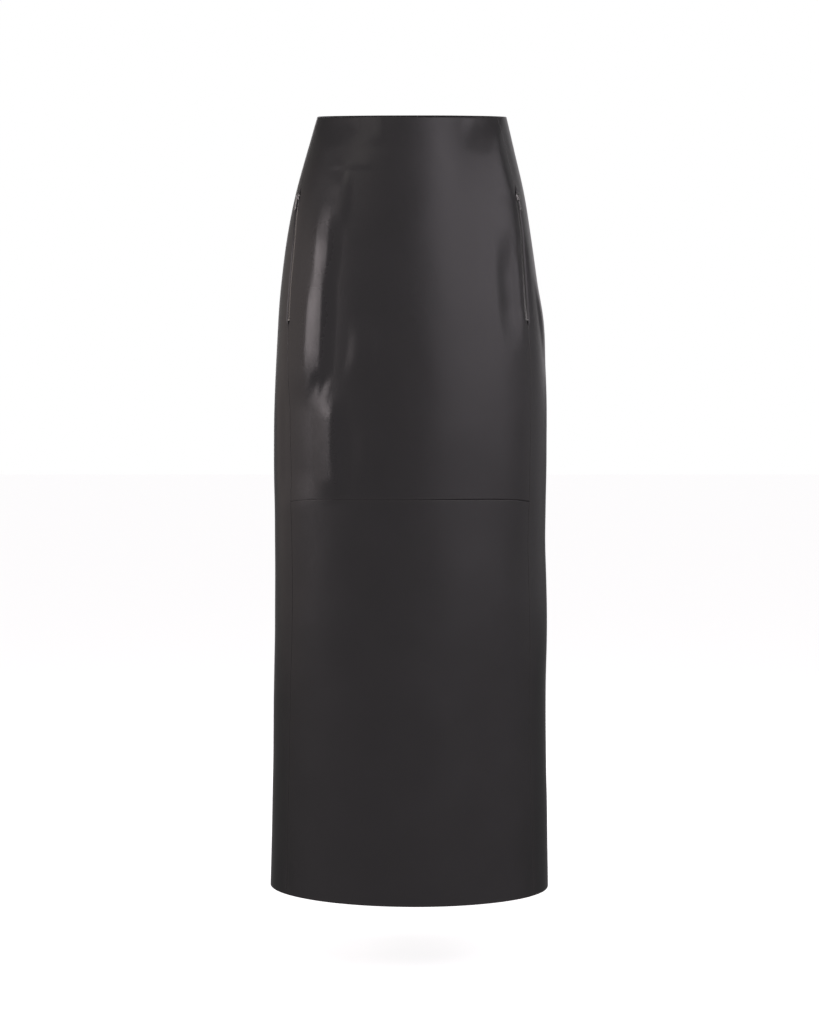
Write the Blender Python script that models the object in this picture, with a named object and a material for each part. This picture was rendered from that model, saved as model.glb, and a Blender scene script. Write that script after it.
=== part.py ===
"""A long pencil skirt in black leather, filled out as when it is worn, with nobody in it.

An upper and a lower front panel meet at a thigh seam. Two back halves wrap round the sides to the
two front seams, and meet at the centre back. A zip stands in each of these three seams.
Sizes are in millimetres until a mesh is made. +Z is up, the front faces -Y, +X is on the right
as the front is looked at, and the origin is the middle of the waist.
"""

import math

import bmesh
import bpy
import numpy as np
from mathutils import Matrix, Vector

MM = 0.001

# Cloth
LENGTH = 969.0  # waist to hem, down the side
WALL = 1.4
SEAM_GAP = 0.3
THIGH_SEAM = 477.0  # drop of the seam between the two front panels
THIGH_SEAM_SAG = 4.0  # it dips by this much where it meets the front seams

# Rings of the skirt, from the waist down. drop is the way below the waist, and half_width, front
# and back are the ring's half sizes. shift is how far its middle stands to the right. left and
# right are the angles from each side to its front seam, and turn is how far the back seam is
# twisted to the right, in degrees.
COLUMNS = ("drop", "half_width", "front", "back", "shift", "left", "right", "turn")
RINGS = (
    (0, 118.3, 88, 84, 3.3, 19.5, 26.3, 3.4),
    (50, 131.6, 97, 95, 1.9, 16.8, 24.4, 3.8),
    (100, 143.9, 104, 107, 0.7, 16.3, 23.7, 4.1),
    (150, 153.1, 109, 117, -0.5, 22.1, 24.1, 3.7),
    (200, 159.9, 113, 124, -0.4, 24.0, 26.5, 3.1),
    (260, 166.0, 116, 128, 0.7, 24.8, 28.9, 2.2),
    (330, 170.2, 118, 129, 1.3, 27.1, 29.6, 1.2),
    (400, 171.7, 120, 127, 1.2, 29.0, 30.6, 0.5),
    (470, 171.3, 121, 125, 1.0, 30.5, 31.1, 0.2),
    (535, 170.6, 122, 124, 0.9, 31.1, 31.5, 0.0),
    (610, 171.6, 124, 125, 1.9, 31.4, 31.4, 0.0),
    (700, 171.9, 127, 127, 1.0, 30.9, 30.7, -0.1),
    (800, 172.6, 130, 130, 0.0, 30.4, 30.0, -0.2),
    (900, 174.7, 133, 133, 0.1, 29.9, 29.3, -0.3),
    (969, 176.1, 134, 134, -0.2, 29.6, 28.8, -0.4),
)
FRONT_TO_BACK = 2.2  # how fast the front's depth turns into the back's at the sides

# Edges that aren't level
RIM_FRONT_SLOPE = 0.143  # the waist falls to the front by this much for each millimetre
RIM_BACK_SLOPE = 0.16
RIM_REACH = 300.0  # the slope has faded out at this drop
HEM_SLOPE = 0.007  # the hem falls to the right
HEM_REACH = 370.0

# Largest folds: a soft ridge, or a trough where lift is negative, from a high end to a low end.
# x is as seen from the front, or through it for the back, and bow bends the line sideways.
FOLD_COLUMNS = ("face", "high_x", "high_drop", "low_x", "low_drop", "reach", "lift", "bow")
FRONT, BACK = 1.0, -1.0
FOLDS = (
    (FRONT, -82, 60, -90, 156, 11, 1.6, 2),
    (FRONT, -105, 108, -111, 240, 9, 2.4, 0),
    (FRONT, -114, 190, -120, 354, 11, 3.0, 1),
    (FRONT, -124, 334, -92, 352, 8, 1.8, 0),
    (FRONT, -95, 344, -91, 478, 11, 3.4, -1),
    (FRONT, -134, 310, -132, 474, 12, -2.4, 0),
    (FRONT, 118, 134, 131, 300, 9, -2.4, -2),
    (BACK, -88, 260, -112, 420, 16, 3.2, -6),
    (BACK, 95, 250, 70, 400, 18, 2.8, 6),
    (BACK, -60, 330, -84, 520, 18, -2.8, 4),
    (BACK, 66, 310, 96, 480, 16, -2.4, -5),
)

# Zips: where the slider stands and where the opening ends, as drops
ZIP_SLOPES = 8.0  # the lips of an opening part and meet over this length
ZIP_OPENING = 5.2
CHAIN_WIDTH = 4.2
CHAIN_SUNK = 0.35  # below the leather's face
TAPE_WIDTH = 22.0
TAPE = 1.0
TAPE_GAP = 0.4  # between the leather and the tape
TAPE_TAIL = 6.0  # the tape runs on below the chain
TAPE_BEND = 6.0  # the tape has a line of points this far from its middle
TAPE_ROW = 12.0  # and rows of points about this far apart
CHAIN_STEP = 0.2  # the chain's sides and foot rise over this width
CHAIN_FOOT = 1.4  # the chain ends this far above the foot of the opening
ZIPS = {"left": (101.0, 257.0), "right": (101.0, 257.0), "back": (17.0, 215.0)}

# Slit at the foot of the centre back seam
SLIT_TOP = 640.0
SLIT_OPENING = 3.0

# Slider and pull tab, in the slider's own axes: X across the zip, Y up it, Z out of the leather
SLIDER_CLEAR = 0.35  # under the front plate
PLATE = 1.0
PLATE_OUTLINE = ((4.6, 2.5), (2.6, 3.8), (-0.8, 3.5), (-4.2, 3.0), (-4.6, 2.4))  # height, half width
WEDGE_LOW, WEDGE_HIGH, WEDGE_HALF = 2.6, 4.3, 0.9
BACK_PLATE_FACE = -3.1
BRIDGE_HALF = 0.8
BRIDGE_INNER, BRIDGE_OUTER = 0.9, 1.75  # half lengths of the bridge's hole and of the bridge
BRIDGE_METAL, BRIDGE_CORNER = 0.8, 0.6  # thickness of the bridge's top, and height of its cut corners
BAR_HEIGHT = SLIDER_CLEAR + PLATE + BRIDGE_INNER  # the tab's bar stands this high over the leather
BAR = 0.45  # half the bar's thickness
BRIDGE_TOP = BAR_HEIGHT + BRIDGE_INNER + BRIDGE_METAL
SUNK = 0.3  # pieces of the slider run this far into each other before they are joined
EYE_LENGTH, EYE_HALF = 3.3, 1.15
PULL_OUTLINE = (
    (0.45, 1.9), (-0.4, 2.3), (-4.0, 2.3), (-6.5, 1.6), (-9.5, 1.7),
    (-14.0, 2.4), (-16.4, 2.1), (-17.6, 1.0),
)

# Mesh density: where each band of rows or columns ends, and the number of steps in each band.
# Rows stand at both ends of each zip's lips, and columns stand close where folds or tapes lie.
UPPER_ROWS = ((0, 9, 85, 93, 215, 223, 257, 265, 345, THIGH_SEAM), (1, 3, 1, 8, 1, 2, 1, 5, 8))
LOWER_ROWS = ((THIGH_SEAM, SLIT_TOP, LENGTH), (3, 6))
BACK_ROWS = ((0, 9, 85, 93, 215, 223, 257, 265, SLIT_TOP, LENGTH), (1, 3, 1, 8, 1, 2, 1, 13, 7))
UPPER_COLUMNS = ((0, 0.34, 0.74, 1), (14, 6, 10))  # shares of the way from left to right
LOWER_COLUMNS = ((0, 1), (20,))
BACK_COLUMNS = ((0, 0.05, 0.3, 0.95, 1), (2, 4, 8, 2))  # from a front seam to the centre back

BLACK_LEATHER = ((0.018, 0.018, 0.020), 0.38, 0.0)
BLACK_TAPE = ((0.012, 0.012, 0.013), 0.85, 0.0)
DARK_NICKEL = ((0.35, 0.35, 0.36), 0.25, 1.0)

RING_TABLE = {name: np.array([row[i] for row in RINGS], float) for i, name in enumerate(COLUMNS)}


def spline_bends(name):
    """Second derivatives of the natural cubic curve through one column of the rings."""
    drops, values = RING_TABLE["drop"], RING_TABLE[name]
    steps = np.diff(drops)
    slopes = np.diff(values) / steps
    matrix = np.eye(len(drops))
    right = np.zeros(len(drops))
    for i in range(1, len(drops) - 1):
        matrix[i, i - 1 : i + 2] = steps[i - 1], 2 * (steps[i - 1] + steps[i]), steps[i]
        right[i] = 6 * (slopes[i] - slopes[i - 1])
    return np.linalg.solve(matrix, right)


RING_BENDS = {name: spline_bends(name) for name in COLUMNS[1:]}


def ring(name, drop):
    """One column of the rings, read smoothly at any drop."""
    drops, values, bends = RING_TABLE["drop"], RING_TABLE[name], RING_BENDS[name]
    i = np.clip(np.searchsorted(drops, drop, side="right") - 1, 0, len(drops) - 2)
    step = drops[i + 1] - drops[i]
    low = (drop - drops[i]) / step
    high = 1 - low
    curve = (high**3 - high) * bends[i] + (low**3 - low) * bends[i + 1]
    return high * values[i] + low * values[i + 1] + curve * step**2 / 6


def fade(value, start, end):
    """0 at start, 1 at end, and smooth between them."""
    share = np.clip((value - start) / (end - start), 0, 1)
    return share * share * (3 - 2 * share)


def smooth_point(angle, drop):
    """A point of the surface without its folds. The angle runs from the right side to the front."""
    turn = np.radians(angle)
    out = -np.sin(turn)
    frontness = 0.5 - 0.5 * np.tanh(FRONT_TO_BACK * out) / math.tanh(FRONT_TO_BACK)
    x = ring("shift", drop) + ring("half_width", drop) * np.cos(turn)
    y = out * (frontness * ring("front", drop) + (1 - frontness) * ring("back", drop))
    rim_slope = frontness * RIM_FRONT_SLOPE + (1 - frontness) * RIM_BACK_SLOPE
    rim = rim_slope * y * (1 - fade(drop, 0, RIM_REACH))
    hem = -HEM_SLOPE * x * fade(drop, LENGTH - HEM_REACH, LENGTH)
    return np.stack(np.broadcast_arrays(x, y, rim + hem - drop), axis=-1)


def outward(angle, drop):
    """Unit normals of the surface without its folds."""
    round_it = smooth_point(angle + 0.05, drop) - smooth_point(angle - 0.05, drop)
    down_it = smooth_point(angle, drop + 0.5) - smooth_point(angle, drop - 0.5)
    normal = np.cross(round_it, down_it)
    return normal / np.linalg.norm(normal, axis=-1, keepdims=True)


def fold_lift(point):
    """How far the folds lift the surface at a point."""
    x, drop = point[..., 0], -point[..., 2]
    face = np.where(point[..., 1] < 0, FRONT, BACK)
    lift = np.zeros_like(x)
    for row in FOLDS:
        fold = dict(zip(FOLD_COLUMNS, row))
        run_x = fold["low_x"] - fold["high_x"]
        run_drop = fold["low_drop"] - fold["high_drop"]
        length = math.hypot(run_x, run_drop)
        from_x, from_drop = x - fold["high_x"], drop - fold["high_drop"]
        along = np.clip((from_x * run_x + from_drop * run_drop) / length**2, 0, 1)
        across = (from_x * run_drop - from_drop * run_x) / length - fold["bow"] * 4 * along * (1 - along)
        ends = np.sin(np.pi * along) ** 0.8
        here = (face == fold["face"]) * ends * np.exp(-((across / fold["reach"]) ** 2))
        lift = lift + fold["lift"] * here
    return lift


def skin(angle, drop, out):
    """Points of the leather's face, moved out along its normal by out."""
    point = smooth_point(angle, drop)
    return point + outward(angle, drop) * np.expand_dims(fold_lift(point) + out, -1)


def right_seam(drop):
    return ring("right", drop)


def left_seam(drop):
    return 180 - ring("left", drop)


def back_seam(drop):
    return 270 + ring("turn", drop)


def zip_clear(name, drop):
    """Half the gap between the two edges of a seam, with the opening for its zip."""
    slider, bottom = ZIPS[name]
    top = slider - ZIP_SLOPES
    opened = fade(drop, top - ZIP_SLOPES, top) * (1 - fade(drop, bottom, bottom + ZIP_SLOPES))
    return SEAM_GAP / 2 + (ZIP_OPENING - SEAM_GAP) / 2 * opened


def back_clear(drop):
    slit = fade(drop, SLIT_TOP, LENGTH) * (SLIT_OPENING - SEAM_GAP) / 2
    return zip_clear("back", drop) + slit


def beside(angle, drop, distance):
    """The angle that lies a distance round the ring from another angle."""
    step = smooth_point(angle + 0.5, drop) - smooth_point(angle - 0.5, drop)
    return angle + distance / np.linalg.norm(step, axis=-1)


def bands(ends, steps):
    """Evenly spaced positions inside each band."""
    parts = [np.linspace(a, b, n, endpoint=False) for a, b, n in zip(ends, ends[1:], steps)]
    return np.concatenate(parts + [[ends[-1]]])


def material(name, look):
    colour, roughness, metallic = look
    made = bpy.data.materials.new(name)
    made.use_nodes = True
    shader = made.node_tree.nodes["Principled BSDF"]
    shader.inputs["Base Color"].default_value = (*colour, 1)
    shader.inputs["Roughness"].default_value = roughness
    shader.inputs["Metallic"].default_value = metallic
    made.diffuse_color = (*colour, 1)
    return made


def add_object(name, mesh, look):
    made = bpy.data.objects.new(name, mesh)
    bpy.context.scene.collection.objects.link(made)
    if not mesh.materials:
        mesh.materials.append(material(name, look))
    mesh.shade_smooth()
    mesh.set_sharp_from_angle(angle=math.radians(40))
    return made


def wall(name, outer, inner, look):
    """A sheet with a thickness: two grids of points, closed round their edges."""
    rows, columns = outer.shape[:2]
    made = bmesh.new()
    sides = []
    for grid in (outer, inner):
        verts = [[made.verts.new(Vector(p) * MM) for p in row] for row in grid]
        sides.append(verts)
        for r in range(rows - 1):
            for c in range(columns - 1):
                made.faces.new((verts[r][c], verts[r][c + 1], verts[r + 1][c + 1], verts[r + 1][c]))
    border = [(0, c) for c in range(columns - 1)] + [(r, columns - 1) for r in range(rows - 1)]
    border += [(rows - 1, c) for c in range(columns - 1, 0, -1)] + [(r, 0) for r in range(rows - 1, 0, -1)]
    for (r, c), (next_r, next_c) in zip(border, border[1:] + border[:1]):
        outer_edge = sides[0][r][c], sides[0][next_r][next_c]
        inner_edge = sides[1][next_r][next_c], sides[1][r][c]
        made.faces.new(outer_edge + inner_edge)
    bmesh.ops.recalc_face_normals(made, faces=made.faces)
    mesh = bpy.data.meshes.new(name)
    made.to_mesh(mesh)
    made.free()
    return add_object(name, mesh, look)


def panel(name, first_edge, last_edge, drops, columns):
    """A leather panel between two edges. drops holds a drop for each row and column."""
    shares = bands(*columns)
    first, last = first_edge(drops), last_edge(drops)
    angles = first + (last - first) * shares
    return wall(name, skin(angles, drops, 0), skin(angles, drops, -WALL), BLACK_LEATHER)


def front_left_edge(drop):
    return beside(left_seam(drop), drop, -zip_clear("left", drop))


def front_right_edge(drop):
    return beside(right_seam(drop), drop, zip_clear("right", drop))


def thigh_seam(shares):
    """Drop of the thigh seam at each share of the way across the front."""
    return THIGH_SEAM + THIGH_SEAM_SAG * np.abs(2 * shares - 1) ** 6


def front_panels():
    shares = bands(*UPPER_COLUMNS)
    rows = bands(*UPPER_ROWS)[:, None] / THIGH_SEAM
    drops = rows * (thigh_seam(shares) - SEAM_GAP / 2)
    panel("front_upper", front_left_edge, front_right_edge, drops, UPPER_COLUMNS)

    shares = bands(*LOWER_COLUMNS)
    rows = (bands(*LOWER_ROWS)[:, None] - THIGH_SEAM) / (LENGTH - THIGH_SEAM)
    top = thigh_seam(shares) + SEAM_GAP / 2
    drops = top + rows * (LENGTH - top)
    panel("front_lower", front_left_edge, front_right_edge, drops, LOWER_COLUMNS)


def back_halves():
    drops = np.repeat(bands(*BACK_ROWS)[:, None], len(bands(*BACK_COLUMNS)), axis=1)
    panel(
        "back_left",
        lambda drop: beside(left_seam(drop), drop, zip_clear("left", drop)),
        lambda drop: beside(back_seam(drop), drop, -back_clear(drop)),
        drops,
        BACK_COLUMNS,
    )
    panel(
        "back_right",
        lambda drop: beside(right_seam(drop), drop, -zip_clear("right", drop)),
        lambda drop: beside(back_seam(drop), drop, back_clear(drop)) - 360,
        drops,
        BACK_COLUMNS,
    )


def zip_strip(name, seam):
    """Tape behind the two lips, with the closed chain standing in the opening."""
    slider, bottom = ZIPS[name]
    top = slider - WEDGE_LOW + SEAM_GAP
    foot = bottom - CHAIN_FOOT
    steps = round((bottom - top) / TAPE_ROW)
    rows = np.concatenate([np.linspace(top, foot - CHAIN_STEP, steps), [foot, bottom + TAPE_TAIL]])
    chain = CHAIN_WIDTH / 2
    right_half = np.array([chain, chain + CHAIN_STEP, TAPE_BEND, TAPE_WIDTH / 2])
    across = np.concatenate([-right_half[::-1], right_half])
    tape_face = -WALL - TAPE_GAP
    drops = np.repeat(rows[:, None], len(across), axis=1)
    on_chain = (np.abs(across) <= chain)[None, :] & (rows < foot - CHAIN_STEP / 2)[:, None]
    outer_level = np.where(on_chain, -CHAIN_SUNK, tape_face)
    angles = beside(seam(drops), drops, across)
    outer = skin(angles, drops, outer_level)
    inner = skin(angles, drops, np.full_like(drops, tape_face - TAPE))
    wall("zip_" + name, outer, inner, BLACK_TAPE)


def slider_frame(name, seam):
    """The matrix of a slider: its origin on the leather's face, Y up the zip and Z outward."""
    drop = np.array(ZIPS[name][0])
    angle = seam(drop)
    normal = Vector(outward(angle, drop))
    up = Vector(smooth_point(seam(drop - 1), drop - 1) - smooth_point(seam(drop + 1), drop + 1))
    up = (up - normal * up.dot(normal)).normalized()
    frame = Matrix((up.cross(normal), up, normal)).transposed().to_4x4()
    frame.translation = Vector(skin(angle, drop, 0)) * MM
    return frame


def prism(outline, low, high, along=2):
    """A closed solid: an outline of (first, second) points, extruded along the third axis."""
    made = bmesh.new()
    others = [axis for axis in range(3) if axis != along]
    corners = []
    for pair in outline:
        point = [0.0, 0.0, 0.0]
        point[others[0]], point[others[1]], point[along] = pair[0] * MM, pair[1] * MM, low * MM
        corners.append(made.verts.new(point))
    face = made.faces.new(corners)
    grown = bmesh.ops.extrude_face_region(made, geom=[face])["geom"]
    move = Vector((0, 0, 0))
    move[along] = (high - low) * MM
    bmesh.ops.translate(made, vec=move, verts=[v for v in grown if isinstance(v, bmesh.types.BMVert)])
    bmesh.ops.recalc_face_normals(made, faces=made.faces)
    mesh = bpy.data.meshes.new("prism")
    made.to_mesh(mesh)
    made.free()
    return mesh


def combine(meshes, operation):
    """One mesh: the first of the meshes joined with, or cut by, each of the others."""
    objects = [bpy.data.objects.new("helper", mesh) for mesh in meshes]
    for helper in objects:
        bpy.context.scene.collection.objects.link(helper)
    for other in objects[1:]:
        step = objects[0].modifiers.new("combine", "BOOLEAN")
        step.operation = operation
        step.object = other
    bpy.context.view_layer.update()
    graph = bpy.context.evaluated_depsgraph_get()
    result = bpy.data.meshes.new_from_object(objects[0].evaluated_get(graph))
    for helper in objects:
        bpy.data.objects.remove(helper)
    return result


def mirrored(outline):
    """A closed outline from (height, half width) pairs of its right side, as (x, y) points."""
    right = [(half, height) for height, half in outline]
    return right + [(-half, height) for half, height in reversed(right)]


def slider_mesh():
    plate = mirrored(PLATE_OUTLINE)
    front_face = SLIDER_CLEAR + PLATE
    wedge = mirrored(((WEDGE_LOW, WEDGE_HALF), (WEDGE_HIGH, WEDGE_HALF)))
    foot = front_face - SUNK
    shoulder = BRIDGE_TOP - BRIDGE_CORNER
    bridge = (
        (-BRIDGE_OUTER, foot), (-BRIDGE_OUTER, shoulder), (-BRIDGE_INNER, BRIDGE_TOP),
        (BRIDGE_INNER, BRIDGE_TOP), (BRIDGE_OUTER, shoulder), (BRIDGE_OUTER, foot),
        (BRIDGE_INNER, foot), (BRIDGE_INNER, BAR_HEIGHT + BRIDGE_INNER),
        (-BRIDGE_INNER, BAR_HEIGHT + BRIDGE_INNER), (-BRIDGE_INNER, foot),
    )
    pieces = [
        prism(plate, SLIDER_CLEAR, front_face),
        prism(wedge, BACK_PLATE_FACE - SUNK, SLIDER_CLEAR + SUNK),
        prism(plate, BACK_PLATE_FACE - PLATE, BACK_PLATE_FACE),
        prism(bridge, -BRIDGE_HALF, BRIDGE_HALF, along=0),
    ]
    return combine(pieces, "UNION")


def pull_mesh():
    """The tab and its bar. Its origin is the bar's middle, which is the hinge."""
    eye = ((-EYE_HALF, -BAR), (EYE_HALF, -BAR), (EYE_HALF, -EYE_LENGTH), (-EYE_HALF, -EYE_LENGTH))
    return combine([prism(mirrored(PULL_OUTLINE), -BAR, BAR), prism(eye, -2 * BAR, 2 * BAR)], "DIFFERENCE")


def zips():
    slider, pull = slider_mesh(), pull_mesh()
    bar_lift = Matrix.Translation((0, 0, BAR_HEIGHT * MM))
    for name, seam in (("left", left_seam), ("right", right_seam), ("back", back_seam)):
        zip_strip(name, seam)
        frame = slider_frame(name, seam)
        add_object("slider_" + name, slider, DARK_NICKEL).matrix_world = frame
        add_object("pull_" + name, pull, DARK_NICKEL).matrix_world = frame @ bar_lift


def main():
    for old in list(bpy.data.objects):
        bpy.data.objects.remove(old)
    front_panels()
    back_halves()
    zips()


main()
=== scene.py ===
"""The looks of a long pencil skirt in black leather, hollow as it is worn.

The leather panels, tapes, teeth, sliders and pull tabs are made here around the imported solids.
Sizes are in millimetres until a mesh is made. +Z is up, the front faces -Y, +X is on the right as
the front is looked at, and the origin is the middle of the waist.
"""

import math

import bmesh
import bpy
import numpy as np
from mathutils import Matrix, Vector, noise


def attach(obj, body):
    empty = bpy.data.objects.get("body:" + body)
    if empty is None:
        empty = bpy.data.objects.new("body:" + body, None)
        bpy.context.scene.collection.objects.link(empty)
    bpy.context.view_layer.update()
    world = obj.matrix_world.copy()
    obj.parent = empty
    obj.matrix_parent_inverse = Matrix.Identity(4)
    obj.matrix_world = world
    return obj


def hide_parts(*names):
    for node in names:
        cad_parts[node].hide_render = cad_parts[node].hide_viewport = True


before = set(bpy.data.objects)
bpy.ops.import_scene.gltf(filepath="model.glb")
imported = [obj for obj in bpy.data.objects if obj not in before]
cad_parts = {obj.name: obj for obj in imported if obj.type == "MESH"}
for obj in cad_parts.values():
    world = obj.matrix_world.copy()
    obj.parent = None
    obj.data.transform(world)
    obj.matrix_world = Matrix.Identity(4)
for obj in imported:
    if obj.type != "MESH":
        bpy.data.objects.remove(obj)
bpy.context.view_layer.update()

MM = 0.001

# ---------------------------------------------------------------------------------------------
# Sizes of the skirt, as in the source of its solids
# ---------------------------------------------------------------------------------------------

LENGTH = 969.0  # waist to hem, down the side
THIGH_SEAM = 477.0  # drop of the seam between the two front panels
THIGH_SEAM_SAG = 4.0  # it dips by this much where it meets the front seams

# Rings of the skirt, from the waist down. drop is the way below the waist, and half_width, front
# and back are the ring's half sizes. shift is how far its middle stands to the right. left and
# right are the angles from each side to its front seam, and turn is how far the back seam is
# twisted to the right, in degrees.
COLUMNS = ("drop", "half_width", "front", "back", "shift", "left", "right", "turn")
RINGS = (
    (0, 118.3, 88, 84, 3.3, 19.5, 26.3, 3.4),
    (50, 131.6, 97, 95, 1.9, 16.8, 24.4, 3.8),
    (100, 143.9, 104, 107, 0.7, 16.3, 23.7, 4.1),
    (150, 153.1, 109, 117, -0.5, 22.1, 24.1, 3.7),
    (200, 159.9, 113, 124, -0.4, 24.0, 26.5, 3.1),
    (260, 166.0, 116, 128, 0.7, 24.8, 28.9, 2.2),
    (330, 170.2, 118, 129, 1.3, 27.1, 29.6, 1.2),
    (400, 171.7, 120, 127, 1.2, 29.0, 30.6, 0.5),
    (470, 171.3, 121, 125, 1.0, 30.5, 31.1, 0.2),
    (535, 170.6, 122, 124, 0.9, 31.1, 31.5, 0.0),
    (610, 171.6, 124, 125, 1.9, 31.4, 31.4, 0.0),
    (700, 171.9, 127, 127, 1.0, 30.9, 30.7, -0.1),
    (800, 172.6, 130, 130, 0.0, 30.4, 30.0, -0.2),
    (900, 174.7, 133, 133, 0.1, 29.9, 29.3, -0.3),
    (969, 176.1, 134, 134, -0.2, 29.6, 28.8, -0.4),
)
FRONT_TO_BACK = 2.2  # how fast the front's depth turns into the back's at the sides

RIM_FRONT_SLOPE = 0.143  # the waist falls to the front by this much for each millimetre
RIM_BACK_SLOPE = 0.16  # and rises to the back by this much
RIM_REACH = 300.0  # the slope has faded out at this drop
HEM_SLOPE = 0.007  # the hem falls to the right
HEM_REACH = 370.0  # that slope starts this far above the hem

# Zips: the drops at which the slider stands and the opening ends
ZIPS = {"left": (101.0, 257.0), "right": (101.0, 257.0), "back": (17.0, 215.0)}
ZIP_SLOPES = 8.0  # the lips of an opening part and meet over this length
ZIP_OPENING = 5.2  # between the lips, beside the chain
SLIT_TOP = 640.0  # the back seam is unsewn from this drop to the hem
SLIT_OPENING = 3.0  # at the hem

# ---------------------------------------------------------------------------------------------
# Folds
# ---------------------------------------------------------------------------------------------

# Ridges, or troughs where lift is negative, from a high end to a low end. u is x on the front and
# the back, and y on the sides. left and right are how far the fold's two flanks reach, as its line
# is followed down. flat is how wide its top is at its highest. bow bends the line sideways. crest
# is 0 for a soft top and 1 for a sharp one. ends is the share of its length over which it rises,
# and again falls. polish is how far the leather is rubbed smooth, from 0 to 1.
FOLD_COLUMNS = ("face", "high_u", "high_drop", "low_u", "low_drop",
                "left", "flat", "right", "lift", "crest", "bow", "ends", "polish")
FRONT, BACK, LEFT, RIGHT = "front", "back", "left", "right"
FOLDS = (
    # Left front: a patch, the two lobes of the long rubbed fold, the crease under them, the fold's
    # tail, the hollow of the left seam, and a smear and a hollow beside the tail
    (FRONT, -79, 60, -87, 156, 30, 2, 8, 2.2, 1, 2, 0.4, 0.3),
    (FRONT, -99, 90, -111.5, 252, 16, 12, 14, 2.8, 1, 0, 0.5, 1),
    (FRONT, -110, 178, -120, 374, 20, 15.5, 15, 3.2, 1, -1, 0.4, 1),
    (FRONT, -123, 332, -95, 340, 26, 1, 15, -1.5, 1, 0, 0.4, 0.6),
    (FRONT, -93.5, 344, -89, 486, 24, 1, 16, 3.4, 1, -1, 0.25, 0.8),
    (FRONT, -152, 318, -150, 490, 10, 2, 46, -2.6, 0, 0, 0.3, 0),
    (FRONT, -57, 250, -69, 345, 16, 4, 16, 2.0, 0, 7, 0.45, 0),
    (FRONT, -76, 356, -78, 468, 12, 8, 18, -1.4, 0, 0, 0.5, 0),
    # Waist: the lower edge of the facing inside, and dents where the waist pulls in
    (FRONT, -104, 69, -38, 71.5, 4, 0, 18, 0.5, 1, 0, 0.3, 0),
    (FRONT, -36, -8, -38, 52, 14, 0, 7, 0.8, 0, 0, 0.3, 0),
    (FRONT, -118, 14, -60, 2, 34, 6, 30, -2.6, 0, 0, 0.35, 0),
    (FRONT, 62, 6, 116, 17, 40, 8, 30, -2.6, 0, 0, 0.4, 0),
    # Right: the crease from the waist to the zip, the valley beside the zip, and the bulge behind
    (FRONT, 100, 4, 129, 124, 30, 1, 12, 2.6, 1, -4, 0.25, 0),
    (FRONT, 121, 86, 140, 290, 30, 1, 9, 1.4, 1, 1, 0.2, 0),
    (FRONT, 119, 142, 132, 300, 15, 1, 8, -4.4, 0.5, -1, 0.4, 0),
    (FRONT, 137, 150, 144, 268, 7, 2, 5, -1.4, 0.5, 0, 0.25, 0),
    (RIGHT, -22, 196, -12, 318, 9, 4, 12, 2.4, 0, 0, 0.5, 0),
    # Hem: the front seams pull in where they are folded up
    (FRONT, -149.5, 926, -150, 966, 4, 0.5, 4, -0.9, 1, 0, 0.3, 0),
    (FRONT, 151.5, 930, 152, 968, 4, 0.5, 4, -0.9, 1, 0, 0.3, 0),
    # Back: the waist pulls in, rubbed folds beside the seat, and drag lines below the zip
    (BACK, -62, 10, -38, 104, 22, 4, 16, -1.5, 0, 0, 0.4, 0),
    (BACK, 56, 6, 36, 92, 18, 4, 20, -1.3, 0, 0, 0.4, 0),
    (BACK, 106, 118, 119, 300, 22, 9, 18, 2.6, 0.3, 2, 0.45, 0.8),
    (BACK, -112, 150, -121, 322, 18, 8, 22, 2.4, 0.3, -2, 0.45, 0.8),
    (BACK, -22, 206, -50, 316, 18, 2, 14, 1.6, 0.3, 3, 0.4, 0.3),
    (BACK, 24, 212, 52, 340, 14, 2, 18, -1.8, 0.3, -4, 0.4, 0),
    (BACK, 8, 236, 16, 372, 10, 3, 14, 1.3, 0.3, 2, 0.4, 0),
    (BACK, -88, 260, -112, 420, 24, 6, 24, 3.2, 0, -6, 0.5, 0),
    (BACK, 95, 250, 70, 400, 26, 6, 26, 2.8, 0, 6, 0.5, 0),
    (BACK, -60, 330, -84, 520, 26, 6, 26, -2.8, 0, 4, 0.5, 0),
    (BACK, 66, 310, 96, 480, 24, 4, 24, -2.4, 0, -5, 0.5, 0),
    (BACK, -98, 348, -46, 362, 14, 1, 14, -1.3, 0.4, 3, 0.4, 0.4),
    (BACK, 42, 378, 108, 352, 14, 1, 16, -1.4, 0.4, -4, 0.4, 0.4),
    (BACK, -14, 400, -6, 560, 18, 4, 12, 1.2, 0, 2, 0.5, 0),
    (BACK, -96, 500, -88, 690, 20, 6, 26, 2.0, 0, 4, 0.5, 0),
    (BACK, 84, 530, 94, 742, 24, 6, 20, 1.9, 0, -5, 0.5, 0),
    (BACK, -34, 590, -24, 730, 14, 3, 12, -1.2, 0, 2, 0.5, 0),
    (BACK, 24, 650, 38, 850, 14, 3, 20, 1.4, 0, -2, 0.5, 0),
    (BACK, -50, 720, -62, 910, 18, 4, 16, -1.5, 0, 3, 0.5, 0),
    # Sides
    (LEFT, 34, 110, 48, 330, 18, 4, 24, -2.0, 0, 4, 0.45, 0),
    (LEFT, 66, 320, 50, 500, 20, 4, 18, 2.0, 0, -3, 0.45, 0),
    (LEFT, 26, 560, 34, 800, 20, 4, 26, 1.4, 0, 3, 0.5, 0),
    (RIGHT, 36, 150, 52, 330, 20, 4, 18, 2.0, 0, 3, 0.45, 0),
    (RIGHT, 62, 340, 44, 520, 18, 4, 24, -1.9, 0, -3, 0.45, 0),
    (RIGHT, 22, 600, 32, 840, 24, 4, 20, -1.3, 0, 3, 0.5, 0),
)
CREST_ROUND = 4.5  # the edge of a fold's top is round over about this width
FLAT_TAPER = 0.4  # a flat top narrows at its two ends, the more suddenly the smaller this is
RIPPLES = ((80.0, 0.9), (36.0, 0.28))  # size and height of the leather's own slight unevenness
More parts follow.
